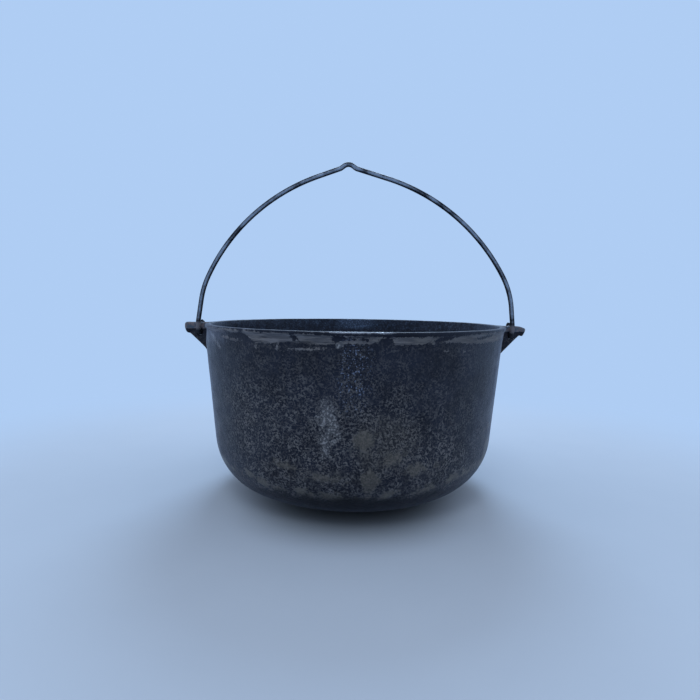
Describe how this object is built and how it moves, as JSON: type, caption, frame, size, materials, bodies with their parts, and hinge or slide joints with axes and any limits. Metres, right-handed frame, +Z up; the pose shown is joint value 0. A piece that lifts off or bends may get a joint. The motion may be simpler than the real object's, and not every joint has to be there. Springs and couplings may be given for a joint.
{
  "type": "cauldron",
  "caption": "Round cast iron cauldron with a curled rim, a rounded bottom, two pierced side ears and a swinging wire bail that peaks at the top.",
  "frame": {"origin": "centre of the flat base, on the surface that it stands on", "axes": "+Z up along the bowl's axis, +X along the ears and the hinge line of the bail, -Y towards the front"},
  "size_m": [0.319, 0.273, 0.2982],
  "materials": {
    "cast_iron": "old sand casting, soot-black and oiled, with worn grey patches",
    "bail_wire": "dark drawn steel wire, dull, with rust at the hooks"
  },
  "bodies": {
    "cauldron": {"cauldron": "cast_iron"},
    "bail": {"bail": "bail_wire"}
  },
  "joints": [
    {"name": "bail_swing", "type": "hinge", "parent": "cauldron", "child": "bail", "pos_m": [0, 0, 0.1493], "axis": [1, 0, 0], "range_deg": [-90, 82]}
  ]
}
